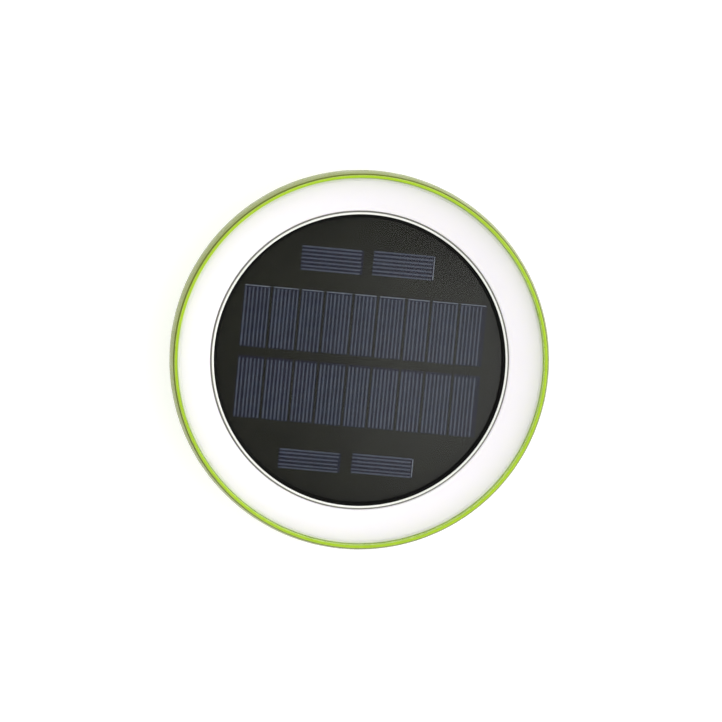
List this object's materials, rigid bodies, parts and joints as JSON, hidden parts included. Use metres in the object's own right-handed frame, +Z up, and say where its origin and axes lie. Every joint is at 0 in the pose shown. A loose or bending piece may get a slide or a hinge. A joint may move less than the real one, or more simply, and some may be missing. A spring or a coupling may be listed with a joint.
{
  "type": "floating solar pool light",
  "caption": "Round floating light: a lime green bowl with a raised rim, a frosted white light ring and a recessed round solar panel, with a battery door, button and hanging ring below.",
  "frame": {"origin": "on the ground under the middle of the round foot", "axes": "+Z up through the middle of the panel; +X along the rows of solar cells; +Y across the rows, away from the button and the hanging ring"},
  "size_m": [0.19, 0.19, 0.06],
  "materials": {
    "lime_shell": "semi-gloss olive lime moulded ABS",
    "lime_rim": "semi-gloss lime green moulded ABS",
    "white_silicone": "smooth white silicone",
    "frosted_diffuser": "frosted white polycarbonate, satin",
    "white_plastic": "white moulded ABS",
    "black_rubber": "matte black rubber",
    "grey_rubber": "light grey silicone rubber",
    "black_plastic": "satin black ABS",
    "clear_window": "clear polycarbonate, polished",
    "panel_board_black": "black solder mask on a glass-fibre board",
    "solar_cell": "dark blue polycrystalline silicon with grey printed fingers",
    "circuit_board": "green solder mask",
    "led_package": "white package with yellow phosphor",
    "battery_wrap": "blue shrink wrap over a metal can",
    "plated_steel": "nickel plated steel",
    "grey_cable": "grey cable sheath",
    "red_wire": "red wire insulation",
    "black_wire": "black wire insulation"
  },
  "bodies": {
    "light": {"lower_hull": "lime_shell", "hull_floor": "lime_shell", "upper_rim": "lime_rim", "rim_seal": "white_silicone", "diffuser_ring": "frosted_diffuser", "panel_carrier": "white_plastic", "carrier_seal": "grey_rubber", "panel_bezel": "black_plastic", "panel_board": "panel_board_black", "panel_window": "clear_window", "battery_cover": "lime_shell", "reflector_ring": "white_plastic", "cover_seal": "black_rubber", "button_boot": "black_rubber", "battery_box": "black_plastic", "solar_cell_upper_1": "solar_cell", "solar_cell_lower_1": "solar_cell", "solar_cell_upper_2": "solar_cell", "solar_cell_lower_2": "solar_cell", "solar_cell_upper_3": "solar_cell", "solar_cell_lower_3": "solar_cell", "solar_cell_upper_4": "solar_cell", "solar_cell_lower_4": "solar_cell", "solar_cell_upper_5": "solar_cell", "solar_cell_lower_5": "solar_cell", "solar_cell_upper_6": "solar_cell", "solar_cell_lower_6": "solar_cell", "solar_cell_upper_7": "solar_cell", "solar_cell_lower_7": "solar_cell", "solar_cell_upper_8": "solar_cell", "solar_cell_lower_8": "solar_cell", "solar_cell_upper_9": "solar_cell", "solar_cell_lower_9": "solar_cell", "solar_cell_top_left": "solar_cell", "solar_cell_top_right": "solar_cell", "solar_cell_bottom_left": "solar_cell", "solar_cell_bottom_right": "solar_cell", "led_board": "circuit_board", "main_board": "circuit_board", "led_1": "led_package", "led_2": "led_package", "led_3": "led_package", "led_4": "led_package", "led_5": "led_package", "led_6": "led_package", "battery_cell": "battery_wrap", "battery_spring": "plated_steel", "battery_plate": "plated_steel", "cover_screw_1": "plated_steel", "cover_screw_2": "plated_steel", "cover_screw_3": "plated_steel", "cover_screw_4": "plated_steel", "board_screw_1": "plated_steel", "board_screw_2": "plated_steel", "solar_cable": "grey_cable", "led_cable": "grey_cable", "battery_lead_positive": "red_wire", "battery_lead_negative": "black_wire"},
    "mode_button": {"mode_button": "white_plastic"},
    "hanging_ring": {"hanging_ring": "plated_steel"}
  },
  "joints": [
    {"name": "mode_button_press", "type": "slide", "parent": "light", "child": "mode_button", "axis": [0, 0, 1], "range_m": [0, 0.001], "stiffness_N_per_m": 1500, "springref_m": -0.0005, "deforming": ["button_boot"]},
    {"name": "hanging_ring_hinge", "type": "hinge", "parent": "light", "child": "hanging_ring", "pos_m": [0.017, -0.017, 0.0022], "axis": [1, 0, 0], "range_deg": [0, 100]}
  ]
}
